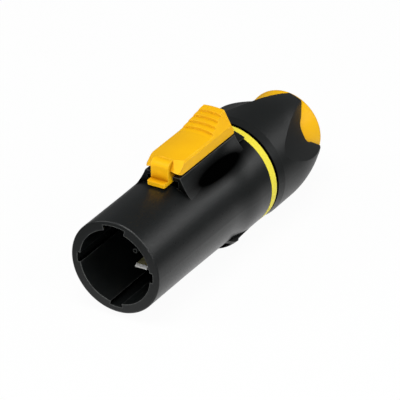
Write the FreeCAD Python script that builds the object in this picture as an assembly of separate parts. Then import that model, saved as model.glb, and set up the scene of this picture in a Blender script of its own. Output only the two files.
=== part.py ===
import FreeCAD, Part
import math
import os

# A locking cable connector for mains power, with a round front sleeve.
# Lengths are in millimetres. The connector's axis is Y: the front rim is at y = 0 and faces -Y,
# the cable leaves at the rear, towards +Y, and the thumb latch is on top, towards +Z.
# Angles are in degrees about the axis, from +Z towards +X.

V = FreeCAD.Vector

# Clearances
run_gap = 0.3            # between pieces that move past each other
seat_gap = 0.1           # between pieces that are fitted together and stay put
contact_gap = 0.05       # between a contact and its pocket

# Front sleeve
sleeve_r = 11.0
sleeve_straight = 15.0   # as far as the panel socket goes over it
sleeve_widening = 0.15   # it is this much larger in radius where the flare starts
sleeve_wall = 2.2
rim_round = 0.35
cavity_depth = 24.0
keyway_short = 3.0       # the keyways stop this far in front of the cavity's floor
top_keyway_half = 16.0
top_keyway_deep = 1.2
side_keyway_half = 7.3
side_keyway_deep = 0.7
bottom_keyway_half = 9.2
bottom_keyway_deep = 0.8

# Rear of the housing
flare_start = 31.5
flare_length = 9.1
flange_proud = 0.9       # above the sleeve's rear end
flange_length = 4.3
flange_round = 0.25
flange_step = 1.95       # from the flange down to the spigot
spigot_wall = 0.95
spigot_past_insert = 12.0
spigot_chamfer = 0.4

# Finger rest under the housing
rest_half_angle = 47.0
rest_start = 31.4
rest_crest_at = 35.0
rest_crest_proud = 0.5   # how far the crest stands above the flange
rest_drop_length = 0.6   # behind the crest, a short steep drop
rest_rear_proud = 0.2    # at the foot of that drop
rest_flat_proud = 0.15   # the flat that the connector lies on, below the flange

# Saddle that carries the latch
saddle_front = 19.65
saddle_rear = 42.0
saddle_proud = 1.0       # its top above the flange
saddle_top_half = 4.4
saddle_sunk = 0.15       # how far its flanks run on into the housing
flank_front = 47.5       # the angle from the top where a flank meets the housing, at the front
flank_rear = 40.0
flank_hollow = 9.0       # the hollow draws that line towards the latch by this angle
flank_sections = 9
shoulder_proud = 0.6
shoulder_half = 25.0

# Latch
latch_travel = 3.0
pad_front = 19.1
pad_rear = 42.5
pad_half = 4.2
pad_nose_half = 3.3
pad_nose_length = 1.4
pad_nose_bulge = (0.72, 0.3)    # the nose arc's middle, as shares of its width and length
pad_nose_rise = 1.5      # the nose's underside rises by this much towards its front edge
pad_nose_under = 3.3     # and starts this far behind it
pad_corner_r = 0.6
pad_height = 3.4
pad_front_lean = 1.5
# Three points of the plane that slants the nose's side: from the middle, behind the pad's front
# and above the pad's bottom
pad_nose_plane = ((2.2, 1.5, 3.25), (3.97, 3.0, 2.9), (3.7, 0.25, 1.05))
crown_axis_z = 1.0       # the pad's top is crowned about a line at this height
hip_height = 2.4
thumb_start = 32.9
thumb_end = 40.9
thumb_height = 2.7       # above the pad's top
thumb_top_half = 2.5
thumb_back_end = 41.15   # where the grip's steep back ends and its foot slopes out
thumb_back_height = 3.0
thumb_foot_height = 0.85
ridge_count = 4
ridge_first = 34.2
ridge_pitch = 1.6
ridge_height = 0.45      # each ridge is a step up, towards the rear
ridge_lean = 0.15
tongue_half = 2.2
tongue_front = 18.45
tongue_round = 1.45
tongue_drop = 0.15       # its top below the pad's top
foot_front = 16.7
foot_height = 0.9
foot_chamfer = 0.3
rail_offset = 5.4        # from the pad's front to the rails
rail_half = 3.6
rail_height = 0.95
rail_length = 8.0
channel_wall = 1.45      # left between the channel and the housing's bore

# Latch spring
spring_r = 0.85
spring_wire_r = 0.17
spring_turns = 6
spring_length = 6.6

# Contacts and their carrier
plate_length = 6.9
insert_length = 19.4
pole_r = 5.15            # from the axis to the middle of each blade
blade_width = 2.9
blade_thickness = 0.86
blade_nose = 0.5
blade_tip_share = 0.5    # the tip's thickness, as a share of the blade's
earth_reach = 14.1       # from the carrier's front to the earth blade's tip
live_reach = 11.1
bay_half = 2.9
bay_inner_r = 2.4
terminal_half = 2.55
terminal_inner_r = 2.75
terminal_length = 10.0
wire_hole_r = 1.7
wire_hole_deep = 8.4
post_reach = 16.1
post_tip_r = 0.55
post_base_r = 1.1
post_hole_r = 0.3
post_hole_deep = 1.5

# Terminal screws
screw_r = 1.5
screw_head_r = 2.3
screw_head_height = 1.15
screw_head_room = 0.7    # between its head and the housing's bore
screw_socket_r = 1.05
screw_socket_deep = 0.7
screw_offset = 12.9      # from the carrier's front
screw_reach = 1.0        # how far the screw goes past the wire hole's middle line

# Seals
o_ring_offset = 2.9      # from the carrier's front
o_ring_wire_r = 0.5
seal_ring_proud = 0.05
seal_ring_length = 2.05
seal_ring_round = 0.3

# Cable clamp
chuck_bore_r = 6.5
chuck_length = 22.2
chuck_ring_length = 10.5
chuck_slots = 6
chuck_slot_width = 1.1
gland_bore_r = 4.7
gland_offset = 6.7       # from the clamp's front
gland_length = 14.5
gland_ribs = 4
gland_rib_height = 0.45

# Rear bushing, whose lengths are taken from its rear end
bushing_past_chuck = 5.45
core_wall = 0.9          # outside the thread
core_waist_back = 8.0
core_waist_r = 8.8
core_rim_r = 9.2
core_rim_round = 1.0
cable_hole_r = 6.3
cable_hole_length = 2.6
grip_edge_proud = 0.05   # the cover's front edge above the flange
grip_proud = 0.4
grip_edge_length = 2.5   # where the cover has widened from its edge to its full radius
grip_edge_round = 0.45
grip_straight = 9.75     # from its front edge to the start of the sweep
grip_sweep_r = 33.0
grip_back = 1.2
grip_nose_length = 1.3   # the rounded end of each lobe
grip_nose_r = 9.0
grip_nose_bulge = (0.3, 0.65)    # the rounded end's middle, as shares of its height and length
lobes = 4
lobe_turned = 20.0       # where the tightened bushing's first lobe stops, past the latch
scallop_axis_r = 40.0    # from the connector's axis to the middle of each scallop's circle
scallop_lead = 4.75      # from the cover's front edge to the start of the scallops
scallop_mid_back = 10.25
scallop_mid_r = 10.45
scallop_end_r = 6.3
window_back = 7.75
window_front_half = 2.9
window_rear_half = 7.1
window_corner_r = 2.2

# Places that follow from the sizes above
flare_end = flare_start + flare_length
flange_end = flare_end + flange_length
seal_ring_front = flange_end
seal_ring_rear = seal_ring_front + seal_ring_length
bushing_front = seal_ring_rear + run_gap
insert_front = cavity_depth + seat_gap
insert_rear = insert_front + insert_length
bay_start = insert_front + plate_length
earth_tip = insert_front - earth_reach
live_tip = insert_front - live_reach
post_tip = insert_front - post_reach
o_ring_at = insert_front + o_ring_offset
screw_at = insert_front + screw_offset
keyway_length = cavity_depth - keyway_short
spigot_end = insert_rear + spigot_past_insert
chuck_front = insert_rear + run_gap
chuck_rear = chuck_front + chuck_length
gland_start = chuck_front + gland_offset
thread_end = spigot_end + 2 * run_gap
bushing_end = chuck_rear + bushing_past_chuck
cone_end = bushing_end - cable_hole_length
core_straight_end = thread_end + seat_gap
grip_straight_end = bushing_front + grip_straight
grip_end = bushing_end - grip_back
window_front = bushing_end - window_back

# Radii and heights that follow from the sleeve
cavity_r = sleeve_r - sleeve_wall
sleeve_rear_r = sleeve_r + sleeve_widening
flange_r = sleeve_rear_r + flange_proud
spigot_r = flange_r - flange_step
insert_bore_r = spigot_r - spigot_wall
rest_flat = flange_r + rest_flat_proud
terminal_outer_r = insert_bore_r - screw_head_room - screw_head_height
chuck_r = insert_bore_r - run_gap
thread_r = spigot_r + run_gap
core_r = thread_r + core_wall
cone_front_r = chuck_r + 2 * run_gap
seal_ring_r = flange_r + seal_ring_proud
grip_edge_r = flange_r + grip_edge_proud
grip_r = flange_r + grip_proud
shoulder_r = flange_r + shoulder_proud
saddle_top = flange_r + saddle_proud
pad_bottom = saddle_top + run_gap
pad_top = pad_bottom + pad_height
hip_start_z = pad_bottom + hip_height
thumb_top = pad_top + thumb_height
thumb_back_z = pad_bottom + thumb_back_height
thumb_foot_z = pad_bottom + thumb_foot_height
channel_floor = insert_bore_r + channel_wall
foot_bottom = sleeve_rear_r + run_gap
rail_bottom = channel_floor + run_gap
rail_top = rail_bottom + rail_height
rail_start = pad_front + rail_offset
rail_end = rail_start + rail_length
spring_z = rail_bottom + spring_r + spring_wire_r
channel_end = rail_end + spring_length


def along(r, s):
    """A point of a turned profile: r from the axis, s along it."""
    return V(r, s, 0)


def outline(start, steps, place):
    """A closed face. A step is a point for a line, or a pair of points for an arc."""
    first = place(*start)
    here = first
    edges = []
    for step in steps:
        if isinstance(step[0], tuple):
            there = place(*step[1])
            edges.append(Part.Arc(here, place(*step[0]), there).toShape())
        else:
            there = place(*step)
            edges.append(Part.LineSegment(here, there).toShape())
        here = there
    edges.append(Part.LineSegment(here, first).toShape())
    return Part.Face(Part.Wire(edges))


def turned(start, steps, middle=V(0, 0, 0)):
    """A solid turned about a line that is parallel to the axis."""
    face = outline(start, steps, lambda r, s: along(r, s).add(middle))
    return face.revolve(middle, V(0, 1, 0), 360)


def about_axis(shape, angle):
    """A copy of a shape made at the top, turned to an angle about the axis."""
    copy = shape.copy()
    copy.rotate(V(0, 0, 0), V(0, 1, 0), angle)
    return copy


def tube(outer_r, inner_r, start, end):
    """A plain ring about the axis."""
    length = end - start
    ring = Part.makeCylinder(outer_r, length, V(0, start, 0), V(0, 1, 0))
    return ring.cut(Part.makeCylinder(inner_r, length, V(0, start, 0), V(0, 1, 0)))


def box(half_x, s0, s1, z0, z1):
    """A block that is even on both sides of the middle plane."""
    return Part.makeBox(2 * half_x, s1 - s0, z1 - z0, V(-half_x, s0, z0))


def part_turned(start, steps, half_angle):
    """A profile turned about the axis at the top, half_angle to each side."""
    face = outline(start, steps, along)
    face.rotate(V(0, 0, 0), V(0, 1, 0), -90 - half_angle)
    return face.revolve(V(0, 0, 0), V(0, 1, 0), 2 * half_angle)


def sector(inner_r, outer_r, start, end, half_angle):
    """A piece of ring at the top, half_angle to each side."""
    return part_turned((inner_r, start), [(outer_r, start), (outer_r, end), (inner_r, end)], half_angle)


def round_corner(r, s, size, turn_r, turn_s):
    """The middle point of a quarter-round corner: turn_r and turn_s say where its centre lies."""
    side = size * (1 - math.sqrt(0.5))
    return (r + turn_r * side, s + turn_s * side)


def eased(s, r0, s0, r1, s1):
    """The radius at s on two tangent arcs from r0 at s0 to r1 at s1, level at both ends."""
    half_rise = (r1 - r0) / 2
    half_run = (s1 - s0) / 2
    bend = (half_rise ** 2 + half_run ** 2) / (2 * half_rise)
    if s < s0 + half_run:
        return r0 + bend - math.sqrt(bend ** 2 - (s - s0) ** 2)
    return r1 - bend + math.sqrt(bend ** 2 - (s1 - s) ** 2)


def ease(r0, s0, r1, s1):
    """The same two arcs, as steps of a profile."""
    quarter = (s1 - s0) / 4
    places = [s0 + i * quarter for i in (1, 2, 3)]
    points = [(eased(s, r0, s0, r1, s1), s) for s in places]
    return [(points[0], points[1]), (points[2], (r1, s1))]


def housing_body():
    """The turned outside of the housing: sleeve, flare, flange and threaded spigot."""
    steps = [
        (sleeve_r - rim_round, 0),
        (round_corner(sleeve_r, 0, rim_round, -1, 1), (sleeve_r, rim_round)),
        (sleeve_r, sleeve_straight),
        (sleeve_rear_r, flare_start),
    ]
    steps += ease(sleeve_rear_r, flare_start, flange_r, flare_end)
    steps += [
        (flange_r, flange_end - flange_round),
        (round_corner(flange_r, flange_end, flange_round, -1, -1), (flange_r - flange_round, flange_end)),
        (spigot_r, flange_end),
        (spigot_r, spigot_end - spigot_chamfer),
        (spigot_r - spigot_chamfer, spigot_end),
        (0, spigot_end),
    ]
    return turned((0, 0), steps)


def finger_rest():
    """The raised rest under the housing: a ramp up to a crest, which falls off to the flange."""
    crest = flange_r + rest_crest_proud
    steps = [(sleeve_rear_r, rest_start)]
    steps += ease(sleeve_rear_r, rest_start, crest, rest_crest_at)
    steps += [
        (flange_r + rest_rear_proud, rest_crest_at + rest_drop_length),
        (flange_r, flare_end),
        (insert_bore_r, flare_end),
    ]
    rest = about_axis(part_turned((insert_bore_r, rest_start), steps, rest_half_angle), 180)
    below = box(crest, rest_start, flare_end, -crest - 1, -rest_flat)
    return rest.cut(below)


def body_r(s):
    """The housing's radius behind the straight part of the sleeve."""
    if s > flare_start:
        return eased(min(s, flare_end), sleeve_rear_r, flare_start, flange_r, flare_end)
    share = (s - sleeve_straight) / (flare_start - sleeve_straight)
    return sleeve_r + share * (sleeve_rear_r - sleeve_r)


def saddle_section(s, angle):
    """The saddle's outline across. Each flank is an arc that runs out level with the housing."""
    r = body_r(s) - saddle_sunk
    out = V(math.sin(math.radians(angle)), 0, math.cos(math.radians(angle)))
    corner = V(saddle_top_half, 0, saddle_top)
    reach = corner.dot(out)
    bend = (r ** 2 - 2 * r * reach + corner.dot(corner)) / (2 * (reach - r))
    centre = out * (r + bend)
    foot = out * r
    middle = (corner + foot) * 0.5 - centre
    middle = centre + middle * (bend / middle.Length)
    inner_z = insert_bore_r * out.z
    steps = [
        (-foot.x, foot.z),
        ((-middle.x, middle.z), (-corner.x, corner.z)),
        (corner.x, corner.z),
        ((middle.x, middle.z), (foot.x, foot.z)),
        (foot.x, inner_z),
    ]
    return outline((-foot.x, inner_z), steps, lambda x, z: V(x, s, z)).OuterWire


def saddle():
    """The raised seat of the latch, with a long hollow in each flank."""
    sections = []
    for i in range(flank_sections):
        share = i / (flank_sections - 1)
        angle = flank_front + share * (flank_rear - flank_front)
        angle -= flank_hollow * math.sin(math.pi * share) ** 2
        sections.append(saddle_section(saddle_front + share * (saddle_rear - saddle_front), angle))
    seat = Part.makeLoft(sections, True)
    shoulder = sector(insert_bore_r, shoulder_r, saddle_rear - 1, flange_end - flange_round, shoulder_half)
    return seat.fuse(shoulder)


def latch_channel():
    """The space in the saddle where the latch's neck, foot and rails run."""
    tongue_half_gap = tongue_half + run_gap
    front = saddle_front - 1
    upper = box(tongue_half_gap, front, channel_end, channel_floor, saddle_top + 1)
    rail_end_gap = rail_end + latch_travel + run_gap
    rail_room = box(rail_half + run_gap, front, rail_end_gap, channel_floor, rail_top + run_gap)
    ahead = tube(sleeve_rear_r, insert_bore_r, front, saddle_front)
    return upper.fuse(rail_room).cut(ahead)


def front_housing():
    body = housing_body().fuse(finger_rest()).fuse(saddle()).removeSplitter()
    body = body.cut(turned((0, -1), [(cavity_r, -1), (cavity_r, cavity_depth), (0, cavity_depth)]))
    bore = [(insert_bore_r, cavity_depth), (insert_bore_r, spigot_end + 1), (0, spigot_end + 1)]
    body = body.cut(turned((0, cavity_depth), bore))
    keyways = (
        (0, top_keyway_half, top_keyway_deep),
        (90, side_keyway_half, side_keyway_deep),
        (180, bottom_keyway_half, bottom_keyway_deep),
        (270, side_keyway_half, side_keyway_deep),
    )
    for angle, half, deep in keyways:
        slot = sector(cavity_r - 1, cavity_r + deep, -1, keyway_length, half)
        body = body.cut(about_axis(slot, angle))
    return body.cut(latch_channel())


def latch_side():
    """The pad's profile along its middle, as heights above the line that its top is crowned about."""
    def above(s, z):
        return (z - crown_axis_z, s)

    rise = thumb_height - ridge_count * ridge_height
    run = thumb_end - thumb_start - ridge_count * ridge_lean
    s = thumb_start
    z = pad_top
    under = pad_front + pad_nose_under
    steps = [
        above(under, pad_bottom),
        above(pad_front, pad_bottom + pad_nose_rise),
        above(pad_front + pad_front_lean, z),
        above(s, z),
    ]
    for i in range(ridge_count):
        riser = ridge_first + i * ridge_pitch
        z += (riser - s) * rise / run
        steps.append(above(riser, z))
        s = riser + ridge_lean
        z += ridge_height
        steps.append(above(s, z))
    steps += [
        above(thumb_end, thumb_top),
        above(thumb_back_end, thumb_back_z),
        above(pad_rear, thumb_foot_z),
        above(pad_rear, crown_axis_z + 1),
    ]
    return above(under, crown_axis_z + 1), steps


def latch_plan():
    """The pad's outline from above, with a blunt nose and small rear corners."""
    r = pad_corner_r
    full = pad_front + pad_nose_length
    nose_x = pad_nose_half + pad_nose_bulge[0] * (pad_half - pad_nose_half)
    nose_s = pad_front + pad_nose_bulge[1] * pad_nose_length
    steps = [
        ((-nose_x, nose_s), (-pad_half, full)),
        (-pad_half, pad_rear - r),
        (round_corner(-pad_half, pad_rear, r, 1, -1), (-pad_half + r, pad_rear)),
        (pad_half - r, pad_rear),
        (round_corner(pad_half, pad_rear, r, -1, -1), (pad_half, pad_rear - r)),
        (pad_half, full),
        ((nose_x, nose_s), (pad_nose_half, pad_front)),
    ]
    plan = outline((-pad_nose_half, pad_front), steps, lambda x, s: V(x, s, pad_bottom))
    return plan.extrude(V(0, 0, thumb_top))


def latch_hips():
    """The pad's section across, with sloping hips along its top edges."""
    slope = (pad_half - thumb_top_half) / (thumb_top - hip_start_z)
    peak = thumb_top + 1
    peak_half = thumb_top_half - slope
    steps = [
        (-pad_half, hip_start_z),
        (-peak_half, peak),
        (peak_half, peak),
        (pad_half, hip_start_z),
        (pad_half, pad_bottom),
    ]
    section = outline((-pad_half, pad_bottom), steps, lambda x, z: V(x, pad_front, z))
    return section.extrude(V(0, pad_rear - pad_front, 0))


def latch_nose_cut(side):
    """The cutter that slants one side of the nose, from its base up to the pad's top edge."""
    a, b, c = [V(side * x, pad_front + s, pad_bottom + z) for x, s, z in pad_nose_plane]
    out = (c - a).cross(b - a).normalize() * side
    across = (b - a).normalize() * pad_half
    down = out.cross(across)
    plane = Part.Face(Part.makePolygon([
        a - across - down,
        a + across * 2 - down,
        a + across * 2 + down,
        a - across + down,
        a - across - down,
    ]))
    return plane.extrude(out * pad_height)


def latch_pad():
    """The pad: its profile turned about the crown's line, trimmed by its plan and its hips."""
    start, steps = latch_side()
    crowned = turned(start, steps, V(0, 0, crown_axis_z))
    pad = crowned.common(latch_plan()).common(latch_hips())
    for side in (-1, 1):
        pad = pad.cut(latch_nose_cut(side))
    return pad


def latch_tongue():
    """The tongue in front of the pad, rounded over into the pad's top."""
    top = pad_top - tongue_drop
    r = tongue_round
    rear = rail_start
    inside = pad_front + pad_front_lean + 1
    steps = [
        (tongue_front, top - r),
        (round_corner(tongue_front, top, r, 1, -1), (tongue_front + r, top)),
        (inside, top),
        (inside, pad_bottom + 1),
        (rear, pad_bottom + 1),
        (rear, foot_bottom),
    ]
    side = outline((tongue_front, foot_bottom), steps, lambda s, z: V(-tongue_half, s, z))
    return side.extrude(V(2 * tongue_half, 0, 0))


def latch_foot():
    """The locking tooth in front of the tongue, with its front corners cut off."""
    c = foot_chamfer
    steps = [
        (-tongue_half, foot_front + c),
        (-tongue_half + c, foot_front),
        (tongue_half - c, foot_front),
        (tongue_half, foot_front + c),
        (tongue_half, pad_front),
    ]
    plan = outline((-tongue_half, pad_front), steps, lambda x, s: V(x, s, foot_bottom))
    return plan.extrude(V(0, 0, foot_height))


def latch_slider():
    stem = box(tongue_half, rail_start - 1, rail_end, rail_bottom, pad_bottom + 1)
    rails = box(rail_half, rail_start - 1, rail_end, rail_bottom, rail_top)
    latch = latch_pad().fuse([latch_tongue(), latch_foot(), stem, rails])
    return latch.removeSplitter()


def latch_spring():
    """The spring that pushes the latch forward, between its rails and the channel's end."""
    pitch = (spring_length - 2 * spring_wire_r - 2 * seat_gap) / spring_turns
    start = rail_end + seat_gap + spring_wire_r
    helix = Part.makeHelix(pitch, pitch * spring_turns, spring_r)
    wire = Part.Wire(Part.makeCircle(spring_wire_r, V(spring_r, 0, 0), V(0, 1, 0)))
    coil = Part.Wire(helix.Edges).makePipeShell([wire], True, True)
    coil.rotate(V(0, 0, 0), V(1, 0, 0), -90)
    coil.translate(V(0, start, spring_z))
    return coil


# Each pole's name, the angle from the bottom pole that its parts are turned to, and its blade's tip
poles = (("earth", 0, earth_tip), ("line", 120, live_tip), ("neutral", -120, live_tip))


def blade(tip, grow=0):
    """The flat blade of the bottom pole. Grown, it is the pocket that it passes through."""
    half_width = blade_width / 2 + grow
    half_thick = blade_thickness / 2 + grow
    tip_half = half_thick * blade_tip_share
    full = tip + blade_nose
    rear = bay_start + 1
    steps = [
        (tip, -pole_r + tip_half),
        (full, -pole_r + half_thick),
        (rear, -pole_r + half_thick),
        (rear, -pole_r - half_thick),
        (full, -pole_r - half_thick),
    ]
    side = outline((tip, -pole_r - tip_half), steps, lambda s, z: V(-half_width, s, z))
    return side.extrude(V(2 * half_width, 0, 0))


def contact(tip):
    """The bottom pole's contact: a blade and a terminal block, made as one piece."""
    front = bay_start + contact_gap
    block = box(terminal_half, front, front + terminal_length, -terminal_outer_r, -terminal_inner_r)
    rear = front + terminal_length
    wire_hole = Part.makeCylinder(wire_hole_r, wire_hole_deep, V(0, rear, -pole_r), V(0, -1, 0))
    screw_hole = Part.makeCylinder(screw_r + contact_gap, terminal_outer_r - pole_r,
                                   V(0, screw_at, -terminal_outer_r), V(0, 0, 1))
    return block.fuse(blade(tip)).removeSplitter().cut(wire_hole).cut(screw_hole)


def terminal_screw():
    """The bottom pole's clamping screw, with its head towards the housing's wall."""
    tip_z = -pole_r - screw_reach
    head_z = -terminal_outer_r - screw_head_height
    shank = Part.makeCylinder(screw_r, tip_z - head_z, V(0, screw_at, head_z), V(0, 0, 1))
    head = Part.makeCylinder(screw_head_r, screw_head_height, V(0, screw_at, head_z), V(0, 0, 1))
    corners = []
    for i in range(7):
        angle = math.radians(60 * i)
        x = screw_socket_r * math.cos(angle)
        y = screw_at + screw_socket_r * math.sin(angle)
        corners.append(V(x, y, head_z))
    socket = Part.Face(Part.makePolygon(corners)).extrude(V(0, 0, screw_socket_deep))
    return shank.fuse(head).removeSplitter().cut(socket)


def contact_insert():
    """The carrier: a front plate, three open bays behind it and a slim hollow post in front."""
    outer_r = insert_bore_r - seat_gap
    post_root = insert_front + 1
    post = turned((0, post_tip), [(post_tip_r, post_tip), (post_base_r, post_root), (0, post_root)])
    body = Part.makeCylinder(outer_r, insert_length, V(0, insert_front, 0), V(0, 1, 0)).fuse(post)
    body = body.removeSplitter()
    body = body.cut(Part.makeCylinder(post_hole_r, post_hole_deep, V(0, post_tip, 0), V(0, 1, 0)))
    groove_half = o_ring_wire_r + seat_gap
    groove_floor = insert_bore_r - 2 * o_ring_wire_r - seat_gap
    body = body.cut(tube(outer_r + 1, groove_floor, o_ring_at - groove_half, o_ring_at + groove_half))
    for name, angle, tip in poles:
        bay = box(bay_half, bay_start, insert_rear + 1, -outer_r - 1, -bay_inner_r)
        body = body.cut(about_axis(bay, angle))
        body = body.cut(about_axis(blade(tip, contact_gap), angle))
    return body


def insert_seal():
    major = insert_bore_r - contact_gap - o_ring_wire_r
    return Part.makeTorus(major, o_ring_wire_r, V(0, o_ring_at, 0), V(0, 1, 0))


def seal_ring():
    """The coloured ring that the bushing squeezes against the flange."""
    r = seal_ring_round
    steps = [
        (seal_ring_r - r, seal_ring_front),
        (round_corner(seal_ring_r, seal_ring_front, r, -1, 1), (seal_ring_r, seal_ring_front + r)),
        (seal_ring_r, seal_ring_rear - r),
        (round_corner(seal_ring_r, seal_ring_rear, r, -1, -1), (seal_ring_r - r, seal_ring_rear)),
        (spigot_r, seal_ring_rear),
    ]
    return turned((spigot_r, seal_ring_front), steps)


def cone_r(s):
    """The radius of the bushing's inner cone at a place along the axis."""
    share = (s - thread_end) / (cone_end - thread_end)
    return cone_front_r + share * (cable_hole_r + run_gap - cone_front_r)


def chuck():
    """The clamp: a ring inside the spigot, and slotted fingers that the bushing's cone closes."""
    ring_end = chuck_front + chuck_ring_length
    bend = thread_end
    rear_r = cone_r(chuck_rear) - 2 * run_gap
    steps = [
        (chuck_r, chuck_front),
        (chuck_r, bend),
        (rear_r, chuck_rear),
        (chuck_bore_r, chuck_rear),
    ]
    body = turned((chuck_bore_r, chuck_front), steps)
    slot = box(chuck_slot_width / 2, ring_end, chuck_rear + 1, 0, chuck_r + 1)
    for i in range(chuck_slots):
        body = body.cut(about_axis(slot, 360 / chuck_slots * i))
    return body


def cable_gland():
    """The rubber sleeve between the clamp and the cable, with ribs in its bore."""
    rib_root_r = gland_bore_r + gland_rib_height
    body = tube(chuck_bore_r, rib_root_r, gland_start, gland_start + gland_length)
    pitch = gland_length / gland_ribs
    for i in range(gland_ribs):
        start = gland_start + (i + 0.25) * pitch
        body = body.fuse(tube(rib_root_r + seat_gap, gland_bore_r, start, start + pitch / 2))
    return body.removeSplitter()


def core_outer():
    """The outside of the bushing's core, as steps of a profile from its front edge."""
    rim = bushing_end - core_rim_round
    rim_middle = round_corner(core_rim_r, bushing_end, core_rim_round, -1, -1)
    return [
        (core_r, bushing_front),
        (core_r, core_straight_end),
        (core_waist_r, bushing_end - core_waist_back),
        (core_rim_r, rim),
        (rim_middle, (core_rim_r - core_rim_round, bushing_end)),
    ]


def rear_bushing():
    """The hard core of the bushing: thread, inner cone and cable hole."""
    steps = core_outer()
    steps += [
        (cable_hole_r, bushing_end),
        (cable_hole_r, cone_end),
        (cone_front_r, thread_end),
        (thread_r, thread_end),
    ]
    return turned((thread_r, bushing_front), steps)


def grip_outline_r(s):
    """The lobes' radius behind the straight part, where they sweep in towards the cable."""
    return grip_r - grip_sweep_r + math.sqrt(grip_sweep_r ** 2 - (s - grip_straight_end) ** 2)


def scallop():
    """The cutter of the top scallop: a round bar that leans in towards the rear."""
    def depth(r):
        return scallop_axis_r - r

    front = bushing_front + scallop_lead
    middle = bushing_end - scallop_mid_back
    rear = bushing_end + 1
    steps = [
        (depth(grip_r), front),
        ((depth(scallop_mid_r), middle), (depth(scallop_end_r), rear)),
        (0, rear),
    ]
    return turned((0, front), steps, V(0, 0, scallop_axis_r))


def window():
    """The cutter of the top window, through which the core shows."""
    rear = bushing_end + 1
    r = window_corner_r
    half = window_front_half
    steps = [
        (round_corner(-half, window_front, r, 1, 1), (-half + r, window_front)),
        (half - r, window_front),
        (round_corner(half, window_front, r, -1, 1), (half, window_front + r)),
        (window_rear_half, rear),
        (-window_rear_half, rear),
    ]
    face = outline((-half, window_front + r), steps, lambda x, s: V(x, s, 0))
    return face.extrude(V(0, 0, grip_r + 1))


def bushing_grip():
    """The soft cover of the bushing: lobes that sweep in, with a scallop and a window between them."""
    e = grip_edge_round
    nose = grip_end - grip_nose_length
    middle = (grip_straight_end + nose) / 2
    nose_r = grip_outline_r(nose)
    bulge_r = nose_r - grip_nose_bulge[0] * (nose_r - grip_nose_r)
    bulge = nose + grip_nose_bulge[1] * grip_nose_length
    inner_r = core_waist_r - 2
    steps = [
        (grip_edge_r - e, bushing_front),
        (round_corner(grip_edge_r, bushing_front, e, -1, 1), (grip_edge_r, bushing_front + e)),
        (grip_r, bushing_front + grip_edge_length),
        (grip_r, grip_straight_end),
        ((grip_outline_r(middle), middle), (nose_r, nose)),
        ((bulge_r, bulge), (grip_nose_r, grip_end)),
    ]
    body = turned((inner_r, bushing_front), steps + [(inner_r, grip_end)])
    for i in range(lobes):
        angle = lobe_turned + 360 / lobes * (i + 0.5)
        body = body.cut(about_axis(scallop(), angle))
        body = body.cut(about_axis(window(), angle))
    core = turned((0, bushing_front - 1), [(core_r, bushing_front - 1)] + core_outer() + [(0, bushing_end)])
    return body.cut(core)


def save(name, shape):
    """Write one piece, and say its volume."""
    shape.exportStep("parts/" + name + ".step")
    print(name, "solids", len(shape.Solids), "volume", round(shape.Volume, 2), "valid", shape.isValid())


def main():
    os.makedirs("parts", exist_ok=True)
    save("front_housing", front_housing())
    save("latch_slider", latch_slider())
    save("latch_spring", latch_spring())
    save("contact_insert", contact_insert())
    save("insert_seal", insert_seal())
    for name, angle, tip in poles:
        save(name + "_contact", about_axis(contact(tip), angle))
        save(name + "_screw", about_axis(terminal_screw(), angle))
    save("seal_ring", seal_ring())
    save("chuck", chuck())
    save("cable_gland", cable_gland())
    save("rear_bushing", rear_bushing())
    save("bushing_grip", bushing_grip())


main()
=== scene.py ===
import math
import bpy
from mathutils import Matrix, Vector


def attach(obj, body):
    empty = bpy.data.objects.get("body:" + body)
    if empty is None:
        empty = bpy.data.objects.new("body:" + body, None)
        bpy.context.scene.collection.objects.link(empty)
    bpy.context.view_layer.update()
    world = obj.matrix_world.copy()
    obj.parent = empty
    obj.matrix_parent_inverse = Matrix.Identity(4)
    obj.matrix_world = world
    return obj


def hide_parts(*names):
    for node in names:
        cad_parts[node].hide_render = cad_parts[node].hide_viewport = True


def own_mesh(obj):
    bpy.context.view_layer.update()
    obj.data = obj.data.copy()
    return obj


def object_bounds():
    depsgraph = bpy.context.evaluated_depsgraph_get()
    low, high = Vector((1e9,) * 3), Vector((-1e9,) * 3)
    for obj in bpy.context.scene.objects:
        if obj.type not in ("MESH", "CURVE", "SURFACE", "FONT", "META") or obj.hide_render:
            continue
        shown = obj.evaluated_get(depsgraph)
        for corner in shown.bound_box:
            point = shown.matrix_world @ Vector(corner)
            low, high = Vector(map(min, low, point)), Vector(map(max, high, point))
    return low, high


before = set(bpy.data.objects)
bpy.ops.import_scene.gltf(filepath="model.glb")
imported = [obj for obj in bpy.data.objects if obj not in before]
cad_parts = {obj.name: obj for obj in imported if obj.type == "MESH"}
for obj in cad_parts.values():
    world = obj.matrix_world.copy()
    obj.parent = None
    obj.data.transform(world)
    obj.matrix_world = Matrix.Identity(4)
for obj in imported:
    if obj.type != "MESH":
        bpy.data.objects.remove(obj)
cad_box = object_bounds()

# The finishes of a locking cable connector, the thread under its bushing, the light and the camera.
# Lengths are in metres. The connector's axis is Y, and its latch is on top, towards +Z.
MM = 0.001

# The camera, as fitted to the photograph
CAMERA_AT = Vector((406.04, -604.04, 433.17)) * MM
CAMERA_RIGHT = Vector((0.85034, 0.52577, -0.02227))
CAMERA_UP = Vector((-0.24524, 0.43336, 0.86721))
CAMERA_BACK = Vector((0.46560, -0.73196, 0.49744))
CAMERA_LENS = 360.0
SENSOR = 36.0
NEAR_LIMIT = 0.01
FAR_LIMIT = 20.0

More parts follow.
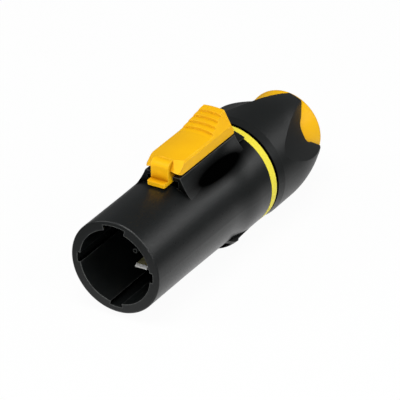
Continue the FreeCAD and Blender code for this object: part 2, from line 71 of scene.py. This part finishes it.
# The lamps: direction from the connector, distance, width, height and power
LAMPS = {
    "key_lamp": ((0.55, -0.85, 0.7), 0.8, 0.35, 0.35, 1.4),
    "top_lamp": ((0.1, -0.35, 1.0), 0.7, 0.4, 0.4, 2.9),
    "fill_lamp": ((-0.8, -0.6, 0.6), 0.8, 0.4, 0.4, 1.6),
    "side_lamp": ((1.0, -0.15, 0.55), 0.8, 0.4, 0.4, 1.9),
    "mouth_lamp": ((0.2, -1.0, -0.02), 0.8, 0.2, 0.2, 1.6),
    "sheen_lamp": ((0.5, 0.73, 0.36), 1.0, 0.7, 0.3, 1.2),
}

# The room and the floor, and the shares of white that the camera and mirroring surfaces see there
ROOM_COLOUR = (0.95, 0.98, 1.0, 1)
ROOM_STRENGTH = 0.12
ROOM_SHARES = (1.0, 0.05)
FLOOR_COLOUR = (0.88, 0.9, 0.88, 1)
FLOOR_SHARES = (0.95, 1.0)
FLOOR_ROUGH = 0.8
FLOOR_HALF = 1.5
FLOOR_DROP = 0.02 * MM
# Mirrors see the floor as a painted white glow around the connector, fading between these distances from
# it, down to this share
FADE_START = 15 * MM
FADE_END = 80 * MM
FADE_TO = 0.12

# The painted shade in the hollows beside the latch: the middle of the right-hand patch, how far it reaches,
# and the shares of that reach where the painted shade starts to fade and where it ends
PAINTED_HOLLOW_SHADE_AT = (6.1 * MM, 32.8 * MM, 9.5 * MM)
PAINTED_HOLLOW_SHADE_REACH = (3.6 * MM, 17.5 * MM, 3.6 * MM)
PAINTED_HOLLOW_SHADE_FADE = (0.45, 1.0)

# The seam between the yellow ring and the bushing: where its shade starts to fade, and where it ends
SEAM_DARK_TO = 47.52 * MM
SEAM_END = 47.7 * MM

# The blades' tips, painted white as a highlight, end this far behind the sleeve's front rim
EARTH_TIP_END = 10.7 * MM
LIVE_TIP_END = 13.7 * MM
TIP_BLUR = 0.1 * MM

# The thread on the spigot, under the bushing
THREAD_FRONT = 47.6 * MM
THREAD_PITCH = 1.5 * MM
THREAD_TURNS = 5
THREAD_FOOT_R = 10.05 * MM
THREAD_CREST_R = 10.3 * MM
THREAD_HALF_WIDTH = 0.5 * MM
THREAD_STEPS = 72
# The steps in which the thread rises to its full height, at both ends
THREAD_RUN_OUT = 18

# Moulded plastic: the widths of its pale edges, which show wear and a painted highlight, and of its rounded
# edges, the sizes of its slow changes of tone and of the paler spots along its edges, how pale those get,
# and how its roughness varies
PALE_EDGE_WEAR_AND_HIGHLIGHT = 0.35 * MM
ROUND_EDGE = 0.12 * MM
CLOUD_SIZE = 9 * MM
RUB_SIZE = 3 * MM
RUB_AND_HIGHLIGHT_SHARES = (0.15, 0.75)
SMOOTHER = 0.05
ROUGHER = 0.07
# How alike the plain and the rounded directions are on an edge, and away from it
EDGE_ALIKE = (0.8, 0.995)
# A surface counts as open from this share of open sky around it
OPEN_FROM = 0.95
BEVEL_SAMPLES = 6
OPEN_SAMPLES = 8

# Rubber and metal: the sizes of their slow changes and their grain, its depth, their rounded edges,
# the rubber's lowest and highest roughness, and how much rougher the metal gets between its lines
RUBBER_CLOUD = 5 * MM
RUBBER_GRAIN = 0.2 * MM
RUBBER_DEPTH = 0.02 * MM
RUBBER_EDGE = 0.1 * MM
RUBBER_ROUGH = (0.6, 0.8)
METAL_CLOUD = 2 * MM
METAL_LINES = 0.1 * MM
METAL_DEPTH = 0.006 * MM
METAL_EDGE = 0.08 * MM
METAL_ROUGHER = 0.15

# The blades: how metallic the plated brass looks, and the colour and roughness of the white painted on
# their tips as a highlight
BRASS_METALLIC = 0.6
TIP_HIGHLIGHT_COLOUR = (0.97, 0.97, 0.94)
TIP_HIGHLIGHT_ROUGH = 0.3

# The middle of the connector, which the lamps are aimed at, and the floor's height
middle = (cad_box[0] + cad_box[1]) / 2
floor_z = cad_box[0].z


class Tree:
    """The nodes of a material or of the world, with short ways to add and to join them."""

    def __init__(self, owner):
        owner.use_nodes = True
        self.nodes = owner.node_tree.nodes
        self.links = owner.node_tree.links

    def put(self, socket, value):
        """Fills a socket with a node's output, a colour or a plain value."""
        if isinstance(value, bpy.types.NodeSocket):
            self.links.new(value, socket)
        elif socket.type == "RGBA" and len(value) == 3:
            socket.default_value = (*value, 1)
        else:
            socket.default_value = value

    def add(self, kind, values, **settings):
        """A new node, with its settings and with its sockets filled by name or by number."""
        made = self.nodes.new("ShaderNode" + kind)
        for name, value in settings.items():
            setattr(made, name, value)
        for name, value in values.items():
            self.put(made.inputs[name], value)
        return made

    def number(self, operation, *values):
        """A calculation with numbers."""
        made = self.add("Math", dict(enumerate(values)), operation=operation)
        return made.outputs["Value"]

    def vector(self, operation, *values):
        """A calculation with vectors."""
        return self.add("VectorMath", dict(enumerate(values)), operation=operation)

    def here(self):
        """The point's place in its piece's own frame, which is the row frame at rest."""
        return self.add("TexCoord", {}).outputs["Object"]

    def along(self):
        """The point's place along the connector's axis."""
        return self.add("SeparateXYZ", {"Vector": self.here()}).outputs["Y"]

    def noise(self, size, detail, rough=0.5):
        """Noise with features of about this size."""
        values = {"Scale": 1 / size, "Detail": detail, "Roughness": rough, "Vector": self.here()}
        return self.add("TexNoise", values).outputs["Fac"]

    def spread(self, value, low, high, from_low=0.3, from_high=0.7):
        """A value spread to a new range. Noise lies mostly between 0.3 and 0.7."""
        values = {
            "Value": value,
            "From Min": from_low,
            "From Max": from_high,
            "To Min": low,
            "To Max": high,
        }
        return self.add("MapRange", values).outputs["Result"]

    def mix(self, share, first, second):
        """Two colours mixed by a share."""
        made = self.add("Mix", {"Factor": share}, data_type="RGBA")
        for name, colour in (("A", first), ("B", second)):
            self.put(next(s for s in made.inputs if s.name == name and s.type == "RGBA"), colour)
        return next(s for s in made.outputs if s.type == "RGBA")

    def rounded(self, radius):
        """The surface's direction, with its sharp edges rounded."""
        return self.add("Bevel", {"Radius": radius}, samples=BEVEL_SAMPLES).outputs["Normal"]

    def relief(self, shader, height, depth, edge_radius):
        """Gives a shader's surface fine relief and rounded edges."""
        values = {"Strength": 1.0, "Distance": depth, "Height": height, "Normal": self.rounded(edge_radius)}
        self.put(shader.inputs["Normal"], self.add("Bump", values).outputs["Normal"])


def new_material(name):
    """A new material, its tree and its shader."""
    made = bpy.data.materials.new(name)
    tree = Tree(made)
    return made, tree, tree.nodes["Principled BSDF"]


def edge_share(tree):
    """How near a point is to a sharp edge, from 0 away from it to 1 on it."""
    plain = tree.add("NewGeometry", {}).outputs["Normal"]
    turned = tree.vector("DOT_PRODUCT", tree.rounded(PALE_EDGE_WEAR_AND_HIGHLIGHT), plain)
    return tree.spread(turned.outputs["Value"], 1, 0, *EDGE_ALIKE)


def open_share(tree, reach, closed):
    """How open a point is: 0 deep in a recess or a groove of its own piece, 1 on an open surface."""
    around = tree.add("AmbientOcclusion", {"Distance": reach}, samples=OPEN_SAMPLES, only_local=True)
    return tree.spread(around.outputs["AO"], 0, 1, closed, OPEN_FROM)


def outside_painted_hollow_shade(tree, value):
    """A value that fades to 0 where shade is painted into the hollows beside the latch, and in the same
    places under the housing.
    """
    mirrored = tree.vector("ABSOLUTE", tree.here()).outputs["Vector"]
    from_middle = tree.vector("SUBTRACT", mirrored, PAINTED_HOLLOW_SHADE_AT).outputs["Vector"]
    in_reaches = tree.vector("DIVIDE", from_middle, PAINTED_HOLLOW_SHADE_REACH).outputs["Vector"]
    far = tree.vector("LENGTH", in_reaches).outputs["Value"]
    return tree.number("MULTIPLY", value, tree.spread(far, 0, 1, *PAINTED_HOLLOW_SHADE_FADE))


def outside_seam(tree, value):
    """A value that is 0 in the shade of the seam in front of the bushing."""
    return tree.number("MULTIPLY", value, tree.spread(tree.along(), 0, 1, SEAM_DARK_TO, SEAM_END))


def plastic(name, colour, shade, worn_and_highlit, hollow_shade, rough, grain, grain_depth,
            ior=1.3, reach=2 * MM, closed=0.4, shaded=None):
    """Moulded plastic: grained, with slow changes of tone, pale edges that show wear and a painted
    highlight, and painted shade in its hollows.
    """
    made, tree, shader = new_material(name)
    tree.put(shader.inputs["IOR"], ior)
    # Painted shade: in recesses and grooves of its own piece, and in the places that shaded picks, the
    # reflections fade and the colour darkens to the shade colour
    lit = open_share(tree, reach, closed)
    if shaded is not None:
        lit = shaded(tree, lit)
    tree.put(shader.inputs["Specular IOR Level"], tree.spread(lit, 0, 0.5, 0, 1))
    tone = tree.mix(tree.spread(tree.noise(CLOUD_SIZE, 3.0), 0, 1), colour, shade)
    # The pale edges: wear and a painted highlight, paler in some spots along them than in others
    rubbed_and_highlit = tree.number("MULTIPLY", edge_share(tree), tree.spread(tree.noise(RUB_SIZE, 4.0), *RUB_AND_HIGHLIGHT_SHARES))
    tree.put(shader.inputs["Base Color"], tree.mix(lit, hollow_shade, tree.mix(rubbed_and_highlit, tone, worn_and_highlit)))
    fine = tree.noise(grain, 3.0, 0.6)
    tree.put(shader.inputs["Roughness"], tree.spread(fine, rough - SMOOTHER, rough + ROUGHER))
    tree.relief(shader, fine, grain_depth, ROUND_EDGE)
    return made


def rubber(name, colour, shade):
    """Soft rubber: dull, with a faint bloom."""
    made, tree, shader = new_material(name)
    cloud = tree.noise(RUBBER_CLOUD, 4.0)
    tree.put(shader.inputs["Base Color"], tree.mix(tree.spread(cloud, 0, 1), colour, shade))
    fine = tree.noise(RUBBER_GRAIN, 3.0)
    tree.put(shader.inputs["Roughness"], tree.spread(fine, *RUBBER_ROUGH))
    tree.relief(shader, fine, RUBBER_DEPTH, RUBBER_EDGE)
    return made


def metal(name, colour, tarnish, rough, scales):
    """Plated metal with a little tarnish. Its fine lines run along the axis with the smallest scale."""
    made, tree, shader = new_material(name)
    tree.put(shader.inputs["Metallic"], 1.0)
    cloud = tree.noise(METAL_CLOUD, 4.0)
    tree.put(shader.inputs["Base Color"], tree.mix(tree.spread(cloud, 0, 1), colour, tarnish))
    stretched = tree.add("Mapping", {"Vector": tree.here(), "Scale": scales}).outputs["Vector"]
    lines = tree.add("TexNoise", {"Vector": stretched, "Scale": 1 / METAL_LINES}).outputs["Fac"]
    tree.put(shader.inputs["Roughness"], tree.spread(lines, rough, rough + METAL_ROUGHER))
    tree.relief(shader, lines, METAL_DEPTH, METAL_EDGE)
    return made


def blade_metal(name, tip_end):
    """The plated brass of a contact, with its tip painted bright white as a highlight."""
    made = metal(
        name,
        colour=(0.9, 0.84, 0.5),
        tarnish=(0.8, 0.72, 0.32),
        rough=0.36,
        scales=(1, 0.1, 1),
    )
    tree = Tree(made)
    plated = tree.nodes["Principled BSDF"]
    tree.put(plated.inputs["Metallic"], BRASS_METALLIC)
    # The tip is painted white as a highlight, up to its end
    highlit_tip = tree.add("BsdfPrincipled", {"Base Color": TIP_HIGHLIGHT_COLOUR, "Roughness": TIP_HIGHLIGHT_ROUGH})
    behind = tree.spread(tree.along(), 0, 1, tip_end - TIP_BLUR, tip_end + TIP_BLUR)
    choice = tree.add("MixShader", {0: behind, 1: highlit_tip.outputs["BSDF"], 2: plated.outputs["BSDF"]})
    tree.put(tree.nodes["Material Output"].inputs["Surface"], choice.outputs["Shader"])
    return made


def thread_corners():
    """The thread's corners, three at each step: its front foot, its crest and its rear foot."""
    corners = []
    last = THREAD_TURNS * THREAD_STEPS
    for step in range(last + 1):
        turn = 2 * math.pi * step / THREAD_STEPS
        along = THREAD_FRONT + THREAD_PITCH * step / THREAD_STEPS
        rise = min(1, step / THREAD_RUN_OUT, (last - step) / THREAD_RUN_OUT)
        crest_r = THREAD_FOOT_R + rise * (THREAD_CREST_R - THREAD_FOOT_R)
        section = (
            (-THREAD_HALF_WIDTH, THREAD_FOOT_R),
            (0, crest_r),
            (THREAD_HALF_WIDTH, THREAD_FOOT_R),
        )
        for offset, r in section:
            corners.append((r * math.sin(turn), along + offset, r * math.cos(turn)))
    return corners


def make_thread(finish):
    """The right-handed thread on the spigot, which shows where the bushing is turned back."""
    faces = []
    for step in range(THREAD_TURNS * THREAD_STEPS):
        here = 3 * step
        for first, second in ((0, 1), (1, 2), (2, 0)):
            faces.append((here + first, here + second, here + 3 + second, here + 3 + first))
    mesh = bpy.data.meshes.new("spigot_thread")
    mesh.from_pydata(thread_corners(), [], faces)
    mesh.materials.append(finish)
    thread = bpy.data.objects.new("spigot_thread", mesh)
    bpy.context.scene.collection.objects.link(thread)
    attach(thread, "housing")


def make_spring(finish):
    """The latch's spring, shown by a copy with a mesh of its own, which rides with the housing."""
    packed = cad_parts["latch_spring"]
    spring = bpy.data.objects.new("shortening_spring", packed.data.copy())
    bpy.context.scene.collection.objects.link(spring)
    bpy.context.view_layer.update()
    spring.matrix_world = packed.matrix_world
    for place in spring.material_slots:
        place.material = finish
    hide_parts("latch_spring")
    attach(spring, "housing")
    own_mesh(spring)


def dress(names, made):
    """Gives CAD nodes a material."""
    for name in names:
        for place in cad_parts[name].material_slots:
            place.material = made


def finish_black_pieces():
    """The housing and the insert, with the thread, and the bushing's soft cover."""
    black = plastic(
        "housing_black",
        colour=(0.004, 0.005, 0.005),
        shade=(0.006, 0.007, 0.007),
        worn_and_highlit=(0.2, 0.21, 0.2),
        hollow_shade=(0.0004, 0.0004, 0.0004),
        rough=0.32,
        grain=0.3 * MM,
        grain_depth=0.02 * MM,
        ior=1.45,
        reach=9 * MM,
        closed=0.5,
        # Painted shade: the colour goes dark and the reflections fade in the hollows beside the latch and
        # under the housing
        shaded=outside_painted_hollow_shade,
    )
    grip = plastic(
        "grip_black",
        colour=(0.005, 0.006, 0.006),
        shade=(0.007, 0.008, 0.008),
        worn_and_highlit=(0.03, 0.033, 0.033),
        hollow_shade=(0.0004, 0.0004, 0.0004),
        rough=0.36,
        grain=0.25 * MM,
        grain_depth=0.02 * MM,
        ior=1.42,
        reach=9 * MM,
        closed=0.5,
        shaded=outside_seam,
    )
    dress(["front_housing", "contact_insert"], black)
    dress(["bushing_grip"], grip)
    make_thread(black)


def finish_coloured_pieces():
    """The latch and the bushing's core, the ring and the clamp."""
    orange = plastic(
        "latch_orange",
        colour=(0.93, 0.50, 0.003),
        shade=(0.88, 0.45, 0.003),
        worn_and_highlit=(1.0, 0.62, 0.06),
        hollow_shade=(0.40, 0.14, 0.001),
        rough=0.36,
        grain=0.2 * MM,
        grain_depth=0.008 * MM,
        closed=0.55,
    )
    lemon = plastic(
        "ring_lemon",
        colour=(0.88, 0.76, 0.06),
        shade=(0.80, 0.69, 0.05),
        worn_and_highlit=(0.95, 0.87, 0.2),
        hollow_shade=(0.35, 0.28, 0.02),
        rough=0.42,
        grain=0.2 * MM,
        grain_depth=0.008 * MM,
    )
    white = plastic(
        "chuck_white",
        colour=(0.78, 0.78, 0.75),
        shade=(0.72, 0.72, 0.69),
        worn_and_highlit=(0.85, 0.85, 0.83),
        hollow_shade=(0.4, 0.4, 0.38),
        rough=0.4,
        grain=0.2 * MM,
        grain_depth=0.006 * MM,
    )
    dress(["latch_slider", "rear_bushing"], orange)
    dress(["seal_ring"], lemon)
    dress(["chuck"], white)


def finish_small_pieces():
    """The rubber pieces, the contacts, the screws and the latch's spring."""
    black = rubber("rubber_black", colour=(0.015, 0.015, 0.015), shade=(0.03, 0.03, 0.03))
    dress(["cable_gland", "insert_seal"], black)
    dress(["earth_contact"], blade_metal("earth_plating", EARTH_TIP_END))
    dress(["line_contact", "neutral_contact"], blade_metal("live_plating", LIVE_TIP_END))
    steel = metal(
        "screw_steel",
        colour=(0.62, 0.62, 0.63),
        tarnish=(0.5, 0.5, 0.5),
        rough=0.3,
        scales=(1, 1, 0.2),
    )
    dress(["earth_screw", "line_screw", "neutral_screw"], steel)
    make_spring(steel)


def make_camera():
    """The camera at the photograph's place, turned as it is there."""
    data = bpy.data.cameras.new("camera")
    data.lens = CAMERA_LENS
    data.sensor_width = SENSOR
    data.clip_start = NEAR_LIMIT
    data.clip_end = FAR_LIMIT
    camera = bpy.data.objects.new("camera", data)
    turn = Matrix((CAMERA_RIGHT, CAMERA_UP, CAMERA_BACK)).transposed()
    camera.matrix_world = Matrix.Translation(CAMERA_AT) @ turn.to_4x4()
    bpy.context.scene.collection.objects.link(camera)
    bpy.context.scene.camera = camera


def make_lamp(name, toward, distance, width, height, power):
    """A soft box, this far from the connector in a direction, facing it."""
    data = bpy.data.lights.new(name, "AREA")
    data.shape = "RECTANGLE"
    data.size = width
    data.size_y = height
    data.energy = power
    made = bpy.data.objects.new(name, data)
    direction = Vector(toward).normalized()
    made.location = middle + direction * distance
    made.rotation_mode = "QUATERNION"
    made.rotation_quaternion = direction.to_track_quat("Z", "Y")
    bpy.context.scene.collection.objects.link(made)


def shown_white(tree, plain, camera_share, mirror_share, fading=1.0):
    """The camera and mirroring surfaces see shares of white, and the light sees the plain shader.

    What mirrors show fades from white by a value."""
    path = tree.add("LightPath", {})
    seen = path.outputs["Is Camera Ray"]
    mirrored = tree.number("ADD", path.outputs["Is Glossy Ray"], path.outputs["Is Transmission Ray"])
    share = tree.number("MULTIPLY_ADD", mirrored, mirror_share, tree.number("MULTIPLY", seen, camera_share))
    strength = tree.number("MULTIPLY_ADD", mirrored, fading, seen)
    white = tree.add("Emission", {"Color": (1, 1, 1), "Strength": strength})
    choice = tree.add("MixShader", {0: share, 1: plain, 2: white.outputs["Emission"]})
    return choice.outputs["Shader"]


def make_world():
    """A dim grey room that the camera sees as white."""
    world = bpy.data.worlds.new("room")
    bpy.context.scene.world = world
    tree = Tree(world)
    tree.nodes.clear()
    grey = tree.add("Background", {"Color": ROOM_COLOUR, "Strength": ROOM_STRENGTH})
    tree.add("OutputWorld", {"Surface": shown_white(tree, grey.outputs["Background"], *ROOM_SHARES)})


def make_floor():
    """A pale floor under the connector. What mirrors it sees a painted white glow there, fading with the
    distance.
    """
    mesh = bpy.data.meshes.new("floor")
    corners = [(x * FLOOR_HALF, y * FLOOR_HALF, 0) for x, y in ((-1, -1), (1, -1), (1, 1), (-1, 1))]
    mesh.from_pydata(corners, [], [(0, 1, 2, 3)])
    floor = bpy.data.objects.new("floor", mesh)
    floor.location = (middle.x, middle.y, floor_z - FLOOR_DROP)
    bpy.context.scene.collection.objects.link(floor)
    made, tree, shader = new_material("floor_white")
    tree.put(shader.inputs["Base Color"], FLOOR_COLOUR)
    tree.put(shader.inputs["Roughness"], FLOOR_ROUGH)
    # A painted pool of light: mirrors see the floor glow white near the connector and dimmer further off
    far = tree.vector("LENGTH", tree.here()).outputs["Value"]
    fading = tree.spread(far, 1.0, FADE_TO, FADE_START, FADE_END)
    surface = shown_white(tree, shader.outputs["BSDF"], *FLOOR_SHARES, fading)
    tree.put(tree.nodes["Material Output"].inputs["Surface"], surface)
    mesh.materials.append(made)


make_camera()
make_world()
for name, about in LAMPS.items():
    make_lamp(name, *about)
make_floor()
finish_black_pieces()
finish_coloured_pieces()
finish_small_pieces()
bpy.context.scene.view_settings.view_transform = "Standard"
